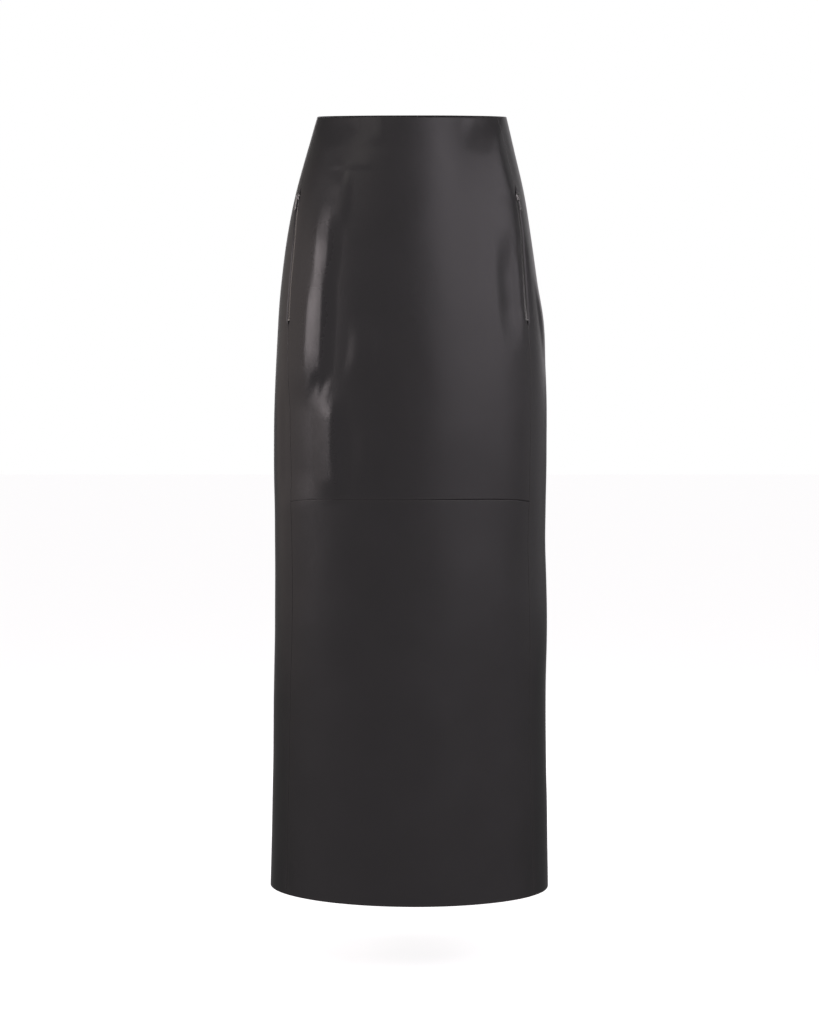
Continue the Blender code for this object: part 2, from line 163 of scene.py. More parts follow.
RIPPLE_STRETCH = 1.6  # they are longer down the skirt than round it

# ---------------------------------------------------------------------------------------------
# Leather panels
# ---------------------------------------------------------------------------------------------

LEATHER = 0.9  # thickness
LEATHER_ROUGHNESS = 0.33
SEAM_GAP = 0.06  # between two panels where they are sewn
ROLL = 0.7  # radius of a turned edge at a seam
RIM_ROLL = 1.5  # the same at the waist
THIGH_ROLL = (0.3, 1.0)  # the thigh seam is pressed flat on the left and rolls in on the right
THIGH_ROLL_TURN = (0.42, 0.66)  # between these shares of the way across
EDGE_STEPS = (0.0, 0.12, 0.35, 0.7, 1.0, 1.5, 2.2, 2.8)  # places of the fine rows beside an edge
LIP_REACH = 2.2  # this far from a zip, the leather begins to dip towards the chain
LIP_SINKS = {"front": 0.6, "back": 1.3}  # how far the lip of a front or a back panel dips
ALLOWANCE = 12.0  # width of the turned edge inside
ALLOWANCE_THICK = 0.75
HEM_TURN = 35.0  # the hem is turned up inside by this much
HEM_THICK = 0.8
STEP_DOWN = 0.8  # the inside steps down from a turned edge over this width
SEAM_WEAR = 2.5  # the leather is greyer within about this distance of an edge

# Size of one quad, down the skirt, across it near the two side edges, and across the middle
FINE = {
    "front_upper": (2.6, 1.2, 3.2),
    "front_lower": (3.0, 2.4, 3.2),
    "back_left": (3.0, 2.8, 3.4),
    "back_right": (3.0, 2.8, 3.4),
}
FINE_REACH = (80.0, 115.0)  # the finer columns end between these distances from an edge
SPACING_SAMPLES = 400
WIDTH_SAMPLES = 200
SHEET_SHARP, METAL_SHARP = 50.0, 38.0  # edges bent by more than these degrees are shaded sharp

# ---------------------------------------------------------------------------------------------
# Zips
# ---------------------------------------------------------------------------------------------

TAPE_WIDTH = 22.0
TAPE = 0.4
TAPE_FACE = -2.75  # below the leather's face
TAPE_TAIL = 6.0  # the tape runs on below the chain
TAPE_PARTING = 0.4  # half the gap between the two tapes
TAPE_RISE = {"left": 2.3, "right": 2.3, "back": 12.5}  # the tape starts this far above the slider
TAPE_ROW, TAPE_COLUMN = 2.5, 0.8  # size of one quad
TAPE_EDGE_STEPS = (0.0, 0.3, 0.7, 1.1)
BEAD = (1.5, 0.8, 0.35)  # place, reach and height of the beaded edge that carries the teeth
TOOTH_PITCH = 1.8
TOOTH_TOP, TOOTH_BOTTOM = -1.0, -2.9
TOOTH_OUTLINE = (  # across and along, for a tooth of the right side
    (2.1, -0.42), (2.1, 0.42), (0.75, 0.44), (0.3, 0.3), (-0.35, 0.36),
    (-0.6, 0.2), (-0.6, -0.2), (-0.35, -0.36), (0.3, -0.3), (0.75, -0.44),
)
TOOTH_BEVEL = 0.14
CHAIN_FOOT = 1.6  # the last tooth stands at least this far above the chain's end
STOP_OUTLINE = ((0.8, 2.0), (0.5, 2.2), (-0.5, 2.2), (-0.8, 2.0))  # height and half width
STOP_RISE = 0.6  # the stop's middle over the chain's end
STOP_BOTTOM, STOP_TOP = TOOTH_BOTTOM - 0.2, TOOTH_TOP + 0.25

# Slider and pull tab, in the slider's own axes: X across the zip, Y up it, Z out of the leather
SLIDER_CLEAR = 0.35  # under the front plate
PLATE = 1.0  # thickness
PLATE_OUTLINE = ((4.6, 1.4), (4.3, 2.6), (2.6, 3.7), (-0.8, 3.5), (-3.8, 3.0), (-4.6, 2.2))
CROWN_OUTLINE = ((3.2, 1.0), (2.2, 1.9), (-1.5, 1.9), (-3.2, 1.3))
CROWN = 0.25  # a low step on the front plate, under the bridge
WEDGE = (2.6, 4.3, 0.9)  # low end, high end and half width
BACK_PLATE_FACE = -3.1
OVERLAP = 0.3  # the slider's parts run into one another by this much
BRIDGE_HALF = 0.8  # half the bridge's width
BAR_HEIGHT = SLIDER_CLEAR + PLATE + 0.9  # the pull tab's bar stands this high over the leather
BRIDGE_HOLE = 0.95  # radius of the room for the bar
BRIDGE_METAL = 0.8
PULL = 0.45  # half the tab's thickness
PULL_OUTLINE = (
    (0.45, 1.5), (0.1, 2.15), (-4.0, 2.3), (-6.5, 1.65), (-9.5, 1.7),
    (-14.0, 2.4), (-16.6, 2.1), (-17.5, 1.1),
)
EYE = (-0.5, -3.3, 1.15)  # top, bottom and half width of the hole that the bridge passes
EYE_CORNER = 0.5
PULL_HOLE = (-14.6, 0.8)  # place and radius of the small hole near the tab's end
METAL_BEVEL = 0.16
PLATE_BEVEL, CROWN_BEVEL, WEDGE_BEVEL, BRIDGE_BEVEL = 0.3, 0.2, 0.1, 0.18

# ---------------------------------------------------------------------------------------------
# Camera and light
# ---------------------------------------------------------------------------------------------

CAMERA_PLACE = (0.0, -2.75, -0.39274)
CAMERA_PITCH = 2.1532  # degrees below level
LENS, SENSOR = 76.676, 36.0

FLOOR = -1.06  # height, at the wearer's feet
FLOOR_REACH = 30.0
FLOOR_GLOW = 0.75

# Azimuth from the front towards the right and elevation, in degrees, then distance, width and
# height in metres, radiance and colour
SOFTBOXES = {
    "key_right": (45, 18, 2.4, 2.6, 1.35, 1.2, (1.0, 0.925, 0.99)),
    "upper_right": (58, 27, 2.4, 1.0, 0.45, 0.45, (1.0, 0.93, 1.0)),
    "side_right": (84, 25, 2.4, 0.9, 0.58, 1.6, (1.0, 0.93, 1.0)),
    "low_right": (112, 3, 2.4, 2.4, 0.9, 0.29, (1.0, 0.94, 0.98)),
    "top_right": (25, 38, 2.4, 0.9, 0.8, 1.45, (1.0, 0.93, 1.0)),
    "top_left": (-45, 44, 2.4, 0.8, 0.62, 1.3, (1.0, 0.93, 0.87)),
    "strip_left": (-71.5, 15, 2.2, 0.68, 0.72, 5.0, (1.0, 0.90, 0.92)),
    "fill_left": (-108, 9, 2.4, 2.4, 1.4, 0.4, (1.0, 0.84, 0.79)),
    "back_left": (-150, 14, 2.6, 1.2, 0.9, 0.18, (1.0, 0.93, 0.87)),
    "back_right": (148, 22, 2.4, 1.3, 1.0, 0.5, (1.0, 0.96, 0.98)),
    "edge_right": (146, 8.5, 2.4, 1.1, 0.32, 0.7, (1.0, 0.96, 0.98)),
    "key_back": (182, 17, 2.4, 1.3, 1.5, 1.4, (1.0, 0.94, 0.98)),
}
# Tone of the room that the gloss reflects, at shares of the way to the back: -1 is the front
ROOM = (
    (-0.3, (0.37, 0.345, 0.36)),
    (0.5, (0.12, 0.12, 0.12)),
    (0.85, (0.12, 0.12, 0.12)),
    (1.0, (0.34, 0.33, 0.34)),
)
AIM = Vector((0.0, 0.0, -0.45))  # the lights face this point

RING_TABLE = {name: np.array([row[i] for row in RINGS], float) for i, name in enumerate(COLUMNS)}


def spline_bends(name):
    """Second derivatives of the natural cubic curve through one column of the rings."""
    drops, values = RING_TABLE["drop"], RING_TABLE[name]
    steps = np.diff(drops)
    slopes = np.diff(values) / steps
    matrix = np.eye(len(drops))
    right = np.zeros(len(drops))
    for i in range(1, len(drops) - 1):
        matrix[i, i - 1 : i + 2] = steps[i - 1], 2 * (steps[i - 1] + steps[i]), steps[i]
        right[i] = 6 * (slopes[i] - slopes[i - 1])
    return np.linalg.solve(matrix, right)


RING_BENDS = {name: spline_bends(name) for name in COLUMNS[1:]}


def ring(name, drop):
    """One column of the rings, read smoothly at any drop."""
    drops, values, bends = RING_TABLE["drop"], RING_TABLE[name], RING_BENDS[name]
    i = np.clip(np.searchsorted(drops, drop, side="right") - 1, 0, len(drops) - 2)
    step = drops[i + 1] - drops[i]
    low = (drop - drops[i]) / step
    high = 1 - low
    curve = (high**3 - high) * bends[i] + (low**3 - low) * bends[i + 1]
    return high * values[i] + low * values[i + 1] + curve * step**2 / 6


def fade(value, start, end):
    """0 at start, 1 at end, and smooth between them."""
    share = np.clip((value - start) / (end - start), 0, 1)
    return share * share * (3 - 2 * share)


def smooth_point(angle, drop):
    """A point of the surface without its folds. The angle runs from the right side to the front."""
    turn = np.radians(angle)
    out = -np.sin(turn)
    frontness = 0.5 - 0.5 * np.tanh(FRONT_TO_BACK * out) / math.tanh(FRONT_TO_BACK)
    x = ring("shift", drop) + ring("half_width", drop) * np.cos(turn)
    y = out * (frontness * ring("front", drop) + (1 - frontness) * ring("back", drop))
    rim_slope = frontness * RIM_FRONT_SLOPE + (1 - frontness) * RIM_BACK_SLOPE
    rim = rim_slope * y * (1 - fade(drop, 0, RIM_REACH))
    hem = -HEM_SLOPE * x * fade(drop, LENGTH - HEM_REACH, LENGTH)
    return np.stack(np.broadcast_arrays(x, y, rim + hem - drop), axis=-1)


def outward(angle, drop, turn=0.05, fall=0.5):
    """Unit normals of the surface without its folds, from small steps round it and down it."""
    round_it = smooth_point(angle + turn, drop) - smooth_point(angle - turn, drop)
    down_it = smooth_point(angle, drop + fall) - smooth_point(angle, drop - fall)
    normal = np.cross(round_it, down_it)
    return normal / np.linalg.norm(normal, axis=-1, keepdims=True)


def on_face(point, face):
    """Where points lie on one face of the skirt, and the coordinate across that face."""
    x, y = point[..., 0], point[..., 1]
    if face in (FRONT, BACK):
        return (y < 0) == (face == FRONT), x
    return (x < 0) == (face == LEFT), y


def fold_field(point):
    """How far the folds lift the surface at each point, and how far they have polished it."""
    drop = -point[..., 2]
    lift = np.zeros_like(drop)
    polish = np.zeros_like(drop)
    for row in FOLDS:
        fold = dict(zip(FOLD_COLUMNS, row))
        here, u = on_face(point, fold["face"])
        run_u = fold["low_u"] - fold["high_u"]
        run_drop = fold["low_drop"] - fold["high_drop"]
        length = math.hypot(run_u, run_drop)
        from_u, from_drop = u - fold["high_u"], drop - fold["high_drop"]
        along = np.clip((from_u * run_u + from_drop * run_drop) / length**2, 0, 1)
        bow = fold["bow"] * 4 * along * (1 - along)
        across = (from_u * run_drop - from_drop * run_u) / length - bow
        rise = fade(along, 0, fold["ends"]) * (1 - fade(along, 1 - fold["ends"], 1))
        off_flat = np.maximum(np.abs(across) - fold["flat"] / 2 * rise**FLAT_TAPER, 0)
        beyond = np.hypot(off_flat, CREST_ROUND) - CREST_ROUND
        share = np.clip(beyond / np.where(across < 0, fold["left"], fold["right"]), 0, 1)
        soft, sharp = 1 - fade(share, 0, 1), (1 - share) ** 1.5
        profile = soft + (sharp - soft) * fold["crest"]
        strength = here * profile * rise
        lift += fold["lift"] * strength
        polish = np.maximum(polish, fold["polish"] * strength)
    return lift, polish


def ripples(point):
    """The slight unevenness of the leather, from smooth noise in space."""
    flat = point.reshape(-1, 3)
    total = np.zeros(len(flat))
    for size, height in RIPPLES:
        scaled = flat / (size, size, size * RIPPLE_STRETCH)
        total += height * np.array([noise.noise(Vector(p)) for p in scaled])
    return total.reshape(point.shape[:-1])


def skin(angle, drop, out):
    """Points of the leather's face, moved out along its normal by out."""
    point = smooth_point(angle, drop)
    lift = fold_field(point)[0] + out
    return point + outward(angle, drop) * np.expand_dims(lift, -1)


def right_seam(drop):
    return ring("right", drop)


def left_seam(drop):
    return 180 - ring("left", drop)


def back_seam(drop):
    return 270 + ring("turn", drop)


SEAMS = {"left": left_seam, "right": right_seam, "back": back_seam}


def opened(name, drop):
    """How far a seam is open for its zip: 0 where it is sewn and 1 along the chain."""
    slider, bottom = ZIPS[name]
    top = slider - ZIP_SLOPES
    return fade(drop, top - ZIP_SLOPES, top) * (1 - fade(drop, bottom, bottom + ZIP_SLOPES))


def zip_clear(name, drop):
    """Half the gap between the two edges of a seam, with the opening for its zip."""
    return SEAM_GAP / 2 + (ZIP_OPENING - SEAM_GAP) / 2 * opened(name, drop)


def back_clear(drop):
    """Half the gap at the back seam, with the openings for its zip and its slit."""
    slit = fade(drop, SLIT_TOP, LENGTH) * (SLIT_OPENING - SEAM_GAP) / 2
    return zip_clear("back", drop) + slit


def beside(angle, drop, distance):
    """The angle that lies a distance round the ring from another angle."""
    one_degree = smooth_point(angle + 0.5, drop) - smooth_point(angle - 0.5, drop)
    return angle + distance / np.linalg.norm(one_degree, axis=-1)


def thigh_seam(share):
    """Drop of the thigh seam at each share of the way across the front."""
    return THIGH_SEAM + THIGH_SEAM_SAG * np.abs(2 * share - 1) ** 6


# ---------------------------------------------------------------------------------------------
# Mesh helpers
# ---------------------------------------------------------------------------------------------


def piece_from(name, points, faces, materials, slots=None):
    """An object from arrays of points in millimetres and of faces with four corners each."""
    mesh = bpy.data.meshes.new(name)
    mesh.vertices.add(len(points))
    mesh.vertices.foreach_set("co", (points * MM).astype(np.float32).ravel())
    mesh.loops.add(faces.size)
    mesh.loops.foreach_set("vertex_index", faces.astype(np.int32).ravel())
    mesh.polygons.add(len(faces))
    starts = np.arange(0, faces.size, faces.shape[1], dtype=np.int32)
    mesh.polygons.foreach_set("loop_start", starts)
    if slots is not None:
        mesh.polygons.foreach_set("material_index", slots.astype(np.int32))
    for look in materials:
        mesh.materials.append(look)
    mesh.update(calc_edges=True)
    mesh.shade_smooth()
    mesh.set_sharp_from_angle(angle=math.radians(SHEET_SHARP))
    made = bpy.data.objects.new(name, mesh)
    bpy.context.scene.collection.objects.link(made)
    return made


def closed_sheet(outer, inner):
    """Points and faces of a sheet: two grids closed round their edges, with faces pointing out.

    The sides that come with them are 0 for a face of the outer grid, 1 for the inner and 2 between.
    """
    rows, columns = outer.shape[:2]
    count = rows * columns
    index = np.arange(count).reshape(rows, columns)
    corners = (index[:-1, :-1], index[:-1, 1:], index[1:, 1:], index[1:, :-1])
    quads = np.stack(corners, -1).reshape(-1, 4)
    border = np.concatenate((index[0, :-1], index[:-1, -1], index[-1, :0:-1], index[:0:-1, 0]))
    following = np.roll(border, -1)
    rim = np.stack((following, border, border + count, following + count), -1)
    faces = np.concatenate((quads, quads[:, ::-1] + count, rim))
    points = np.concatenate((outer.reshape(-1, 3), inner.reshape(-1, 3)))
    a, b, c, d = (points[faces[:, i]] for i in range(4))
    volume = np.einsum("ij,ij->", a, np.cross(b, c) + np.cross(c, d))
    sides = np.repeat((0, 1, 2), (len(quads), len(quads), len(rim)))
    return points, faces if volume > 0 else faces[:, ::-1], sides


def add_attribute(piece, name, values):
    attribute = piece.data.attributes.new(name, "FLOAT", "POINT")
    attribute.data.foreach_set("value", values.astype(np.float32).ravel())


def spaced(start, end, near, far, beside_start, beside_end):
    """Positions from start to end: set ones beside the ends, and evenly growing steps between them.

    The steps are near beside the ends and far in the middle.
    """
    first = start + np.array(beside_start)
    last = end - np.array(beside_end)[::-1]
    way = np.linspace(first[-1], last[0], SPACING_SAMPLES)
    steps = near + (far - near) * fade(np.minimum(way - start, end - way), *FINE_REACH)
    passed = np.concatenate(((0,), np.cumsum(np.diff(way) / (0.5 * (steps[1:] + steps[:-1])))))
    count = max(2, round(passed[-1]))
    middle = np.interp(np.linspace(0, passed[-1], count + 1), passed, way)
    return np.concatenate((first[:-1], middle, last[1:]))


def rolled(distance, radius):
    """How far a turned edge has rolled in, at a distance from it."""
    inside = np.clip(radius - distance, 0, radius)
    return np.sqrt(np.maximum(radius**2 - inside**2, 0)) - radius


# ---------------------------------------------------------------------------------------------
# Materials
# ---------------------------------------------------------------------------------------------


class Look:
    """A material under construction, with short ways to add and join its nodes."""

    def __init__(self, name, colour, roughness, metallic=0.0):
        self.material = bpy.data.materials.new(name)
        self.material.use_nodes = True
        self.nodes = self.material.node_tree.nodes
        self.links = self.material.node_tree.links
        self.shader = self.nodes["Principled BSDF"]
        self.shader.inputs["Base Color"].default_value = (*colour, 1)
        self.shader.inputs["Roughness"].default_value = roughness
        self.shader.inputs["Metallic"].default_value = metallic
        self.material.diffuse_color = (*colour, 1)
        self.place = self.add("ShaderNodeTexCoord").outputs["Object"]

    def add(self, kind, inputs=(), **settings):
        node = self.nodes.new(kind)
        for name, value in settings.items():
            setattr(node, name, value)
        for name, value in dict(inputs).items():
            if isinstance(value, bpy.types.NodeSocket):
                self.links.new(value, node.inputs[name])
            else:
                node.inputs[name].default_value = value
        return node

    def noise(self, size, detail=2.0, place=None):
        """Smooth noise whose features have a size in millimetres."""
        inputs = {"Vector": place or self.place, "Scale": 1 / (size * MM), "Detail": detail}
        return self.add("ShaderNodeTexNoise", inputs).outputs["Fac"]

    def cells(self, size, feature="DISTANCE_TO_EDGE"):
        inputs = {"Vector": self.place, "Scale": 1 / (size * MM)}
        return self.add("ShaderNodeTexVoronoi", inputs, feature=feature).outputs["Distance"]

    def stretched(self, scale):
        """The place, scaled by a different amount along each axis."""
        return self.add("ShaderNodeMapping", {"Vector": self.place, "Scale": scale}).outputs["Vector"]

    def ramp(self, value, low, high, start=0.0, end=1.0):
        """A value from low at start to high at end."""
        inputs = {"Value": value, "From Min": start, "From Max": end, "To Min": low, "To Max": high}
        return self.add("ShaderNodeMapRange", inputs).outputs["Result"]

    def math(self, operation, first, second):
        node = self.add("ShaderNodeMath", operation=operation)
        for socket, value in zip(node.inputs, (first, second)):
            if isinstance(value, bpy.types.NodeSocket):
                self.links.new(value, socket)
            else:
                socket.default_value = value
        return node.outputs[0]

    def attribute(self, name):
        return self.add("ShaderNodeAttribute", attribute_name=name).outputs["Fac"]

    def colours(self, value, first, second):
        mix = self.add("ShaderNodeMix", data_type="RGBA")
        self.links.new(value, mix.inputs["Factor"])
        mix.inputs["A"].default_value = (*first, 1)
        mix.inputs["B"].default_value = (*second, 1)
        return mix.outputs["Result"]

    def bump(self, height, depth, under=None):
        """A bump whose height of 1 is a depth in millimetres."""
        inputs = {"Height": height, "Strength": 1.0, "Distance": depth * MM}
        node = self.add("ShaderNodeBump", inputs)
        if under is not None:
            self.links.new(under, node.inputs["Normal"])
        return node.outputs["Normal"]

    def wire(self, **sockets):
        for name, value in sockets.items():
            self.links.new(value, self.shader.inputs[name.replace("_", " ")])
        return self.material


def leather_look():
    """Smooth black nappa: a fine pebble grain, hair pores, and a gloss that varies and wears."""
    look = Look("black_nappa", (0.024, 0.023, 0.024), LEATHER_ROUGHNESS)
    look.shader.inputs["Specular IOR Level"].default_value = 0.5
    polish = look.attribute("polish")
    seam = look.attribute("seam")
    patches = look.noise(60.0, 3.0)
    mottle = look.noise(7.0, 2.0)
    uneven = look.math("ADD", look.ramp(patches, -0.04, 0.04), look.ramp(mottle, -0.03, 0.03))
    rubbed = look.math("MULTIPLY", polish, -0.08)
    rough = look.math("ADD", look.math("ADD", uneven, rubbed), LEATHER_ROUGHNESS)
    pebbles = look.ramp(look.cells(0.85), 0.0, 1.0, 0.0, 0.35)
    creasing = look.noise(2.6, 3.0, look.stretched((1.0, 1.0, 0.6)))
    pores = look.ramp(look.cells(0.55, "F1"), 0.0, 1.0, 0.08, 0.3)
    normal = look.bump(creasing, 0.035)
    normal = look.bump(pebbles, 0.022, normal)
    normal = look.bump(pores, 0.01, normal)
    tone = look.colours(patches, (0.021, 0.0205, 0.021), (0.027, 0.026, 0.027))
    worn = look.add("ShaderNodeMix", data_type="RGBA")
    look.links.new(seam, worn.inputs["Factor"])
    look.links.new(tone, worn.inputs["A"])
    worn.inputs["B"].default_value = (0.028, 0.027, 0.027, 1)
    return look.wire(Base_Color=worn.outputs["Result"], Roughness=rough, Normal=normal)


def suede_look():
    """The flesh side of the leather: matt, with a short nap."""
    look = Look("flesh_side", (0.020, 0.019, 0.019), 0.9)
    look.shader.inputs["Specular IOR Level"].default_value = 0.25
    look.shader.inputs["Sheen Weight"].default_value = 0.25
    look.shader.inputs["Sheen Roughness"].default_value = 0.5
    nap = look.noise(0.45, 4.0)
    streaks = look.noise(9.0, 4.0, look.stretched((1.0, 1.0, 0.35)))
    tone = look.colours(streaks, (0.014, 0.0135, 0.013), (0.030, 0.028, 0.027))
    normal = look.bump(nap, 0.12)
    return look.wire(Base_Color=tone, Normal=normal)


def tape_look():
    """Woven zip tape."""
    look = Look("zip_tape_weave", (0.012, 0.012, 0.013), 0.85)
    look.shader.inputs["Sheen Weight"].default_value = 0.2
    warp = look.noise(0.35, 1.0, look.stretched((1.0, 1.0, 0.25)))
    weft = look.noise(0.3, 1.0, look.stretched((0.3, 0.3, 1.4)))
    ribs = look.math("ADD", warp, weft)
    tone = look.colours(warp, (0.008, 0.008, 0.009), (0.018, 0.018, 0.019))
    return look.wire(Base_Color=tone, Normal=look.bump(ribs, 0.12))


def metal_look():
    """Polished dark nickel, with fine scratches and grime."""
    look = Look("dark_nickel", (0.45, 0.44, 0.43), 0.12, 1.0)
    scratches = look.noise(0.5, 4.0, look.stretched((1.0, 1.0, 0.12)))
    grime = look.noise(2.0, 3.0)
    rough = look.math("ADD", look.ramp(scratches, -0.03, 0.05), look.ramp(grime, 0.07, 0.15))
    tone = look.colours(grime, (0.36, 0.355, 0.35), (0.55, 0.54, 0.53))
    return look.wire(Base_Color=tone, Roughness=rough, Normal=look.bump(scratches, 0.01))


LEATHER_LOOK = leather_look()
SUEDE_LOOK = suede_look()
TAPE_LOOK = tape_look()
METAL_LOOK = metal_look()


# ---------------------------------------------------------------------------------------------
# Leather panels
# ---------------------------------------------------------------------------------------------


def panel_width(first_edge, last_edge, drop):
    """Width of a panel along the leather at a drop."""
    angles = np.linspace(first_edge(np.array(drop)), last_edge(np.array(drop)), WIDTH_SAMPLES)
    points = smooth_point(angles, np.full(WIDTH_SAMPLES, float(drop)))
    return float(np.linalg.norm(np.diff(points, axis=0), axis=1).sum())


def panel_grid(name, first_edge, last_edge, side, top, bottom):
    """Angles and drops of a panel's points, and how far each is from its top, bottom and two sides.

    side is 1 where the angle grows from the first edge on, and -1 where it falls. top and bottom
    give the drop of the panel's ends at a share of the way across.
    """
    down, near, far = FINE[name]
    width = panel_width(first_edge, last_edge, 0.5 * (top(0.5) + bottom(0.5)))
    from_first = spaced(0, width, near, far, EDGE_STEPS, EDGE_STEPS)[None, :]
    from_last = width - from_first
    top_drop, bottom_drop = top(from_first / width), bottom(from_first / width)
    fixed = EDGE_STEPS[-1]
    rows = max(2, round(float(np.max(bottom_drop - top_drop)) / down))
    room = bottom_drop - top_drop - 2 * fixed
    middle = top_drop + fixed + np.linspace(0, 1, rows + 1)[:, None] * room
    fine = np.array(EDGE_STEPS[:-1])[:, None]
    drops = np.concatenate((top_drop + fine, middle, bottom_drop - fine[::-1]))
    first, last = first_edge(drops), last_edge(drops)
    start, end = beside(first, drops, side * fixed), beside(last, drops, -side * fixed)
    angles = start + (end - start) * (from_first - fixed) / (width - 2 * fixed)
    angles = np.where(from_first < fixed, beside(first, drops, side * from_first), angles)
    angles = np.where(from_last < fixed, beside(last, drops, -side * from_last), angles)
    whole = np.zeros_like(drops)
    distances = (drops - top_drop, bottom_drop - drops, from_first + whole, from_last + whole)
    return angles, drops, distances


def leather_panel(name, first_edge, last_edge, side, top, bottom, rolls, zips=(), hem=False):
    """A panel between two edges. zips names the seams at its two edges, where they open."""
    angles, drops, distances = panel_grid(name, first_edge, last_edge, side, top, bottom)
    across = distances[2] / (distances[2] + distances[3])
    out = np.minimum.reduce([rolled(d, roll(across)) for d, roll in zip(distances, rolls)])
    base = smooth_point(angles, drops)
    normal = outward(angles, drops)
    lift, polish = fold_field(base)
    lift = lift + ripples(base)
    sink = LIP_SINKS[name.split("_")[0]]
    for seam, distance in zip(zips, distances[2:]):
        lift = lift - sink * opened(seam, drops) * np.clip(1 - distance / LIP_REACH, 0, 1)
    edge = np.minimum.reduce(distances)
    turned = ALLOWANCE_THICK * (1 - fade(edge, ALLOWANCE, ALLOWANCE + STEP_DOWN))
    folded_in = edge < ALLOWANCE
    if hem:
        turned_up = HEM_THICK * (1 - fade(distances[1], HEM_TURN, HEM_TURN + STEP_DOWN))
        turned = np.maximum(turned, turned_up)
        folded_in |= distances[1] < HEM_TURN
    outer = base + normal * (lift + out)[..., None]
    inner = base + normal * (lift - LEATHER - turned)[..., None]
    points, faces, sides = closed_sheet(outer, inner)
    inside = sides == 1
    inside[inside] = ~folded_in[:-1, :-1].ravel()
    piece = piece_from(name + "_leather", points, faces, (LEATHER_LOOK, SUEDE_LOOK), inside)
    wear = np.exp(-edge / SEAM_WEAR)
    add_attribute(piece, "polish", np.concatenate((polish.ravel(), 0 * polish.ravel())))
    add_attribute(piece, "seam", np.concatenate((wear.ravel(), wear.ravel())))
    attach(piece, "skirt")
    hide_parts(name)
    size, area = cut_of(first_edge, last_edge, top, bottom)


def cut_of(first_edge, last_edge, top, bottom, steps=80):
    """Flat width and length of a panel as it is cut, without its turnings, and its area, in metres."""
    drops = np.linspace(top(0.5), bottom(0.5), steps)
    widths = np.array([panel_width(first_edge, last_edge, drop) for drop in drops])
    middle = 0.5 * (first_edge(drops) + last_edge(drops))
    slants = np.linalg.norm(np.diff(smooth_point(middle, drops), axis=0), axis=1)
    area = float(np.sum(0.5 * (widths[1:] + widths[:-1]) * slants))
    return (float(widths.max()) * MM, float(slants.sum()) * MM), area * MM**2


def constant(value):
    """The same value at every share of the way across."""
    return lambda share: value + 0 * share


def side_edge(name, way):
    """One edge of a front seam, with the opening for its zip."""
    return lambda drop: beside(SEAMS[name](drop), drop, way * zip_clear(name, drop))


def slit_edge(way, turns):
    """One edge of the back seam. Seen from the right side, its angle is less by whole turns."""
    return lambda drop: beside(back_seam(drop), drop, way * back_clear(drop)) - turns * 360


def leather_panels():
    def thigh_top(share):
        return thigh_seam(share) - SEAM_GAP / 2

    def thigh_bottom(share):
        return thigh_seam(share) + SEAM_GAP / 2

    def thigh_roll(share):
        return THIGH_ROLL[0] + (THIGH_ROLL[1] - THIGH_ROLL[0]) * fade(share, *THIGH_ROLL_TURN)

    waist, hem = constant(0.0), constant(LENGTH)
    rim, roll = constant(RIM_ROLL), constant(ROLL)
    left, right = side_edge("left", -1), side_edge("right", 1)
    rolls = (rim, thigh_roll, roll, roll)
    leather_panel("front_upper", left, right, -1, waist, thigh_top, rolls, ("left", "right"))
    rolls = (thigh_roll, roll, roll, roll)
    leather_panel("front_lower", left, right, -1, thigh_bottom, hem, rolls, hem=True)
    rolls = (rim, roll, roll, roll)
    left, right = side_edge("left", 1), side_edge("right", -1)
    leather_panel("back_left", left, slit_edge(-1, 0), 1, waist, hem, rolls, ("left", "back"), True)
    leather_panel("back_right", right, slit_edge(1, 1), -1, waist, hem, rolls, ("right", "back"), True)


# ---------------------------------------------------------------------------------------------
# Zips
# ---------------------------------------------------------------------------------------------


def on_seam(name, drop):
    """The place and axes at a seam: origin on the leather's face, Y up the seam, Z outward."""
    seam = SEAMS[name]
    drop = np.array(float(drop))
    normal = Vector(outward(seam(drop), drop))
    up = Vector(smooth_point(seam(drop - 1), drop - 1) - smooth_point(seam(drop + 1), drop + 1))
    up = (up - normal * up.dot(normal)).normalized()
    axes = Matrix((up.cross(normal), up, normal)).transposed().to_4x4()
    axes.translation = Vector(skin(seam(drop), drop, 0))
    return axes


def mirrored(outline):
    """A closed outline from (height, half width) pairs of its right side, as (x, y) points."""
    right = [(half, height) for height, half in outline]
    return right + [(-half, height) for half, height in reversed(right)]


def rounded(outline, steps=4):
    """A closed smooth line through the points of an outline."""
    points = np.array(outline, float)
    before, after, beyond = np.roll(points, 1, 0), np.roll(points, -1, 0), np.roll(points, -2, 0)
    line = []
    for t in np.arange(steps) / steps:
        square = (2 * before - 5 * points + 4 * after - beyond) * t**2
        cube = (3 * points - before - 3 * after + beyond) * t**3
        line.append(0.5 * (2 * points + (after - before) * t + square + cube))
    return np.stack(line, 1).reshape(-1, 2)


def circle(middle, radius, steps=16):
    turns = np.linspace(0, 2 * math.pi, steps, endpoint=False)
    return np.stack((radius * np.cos(turns), middle + radius * np.sin(turns)), -1)


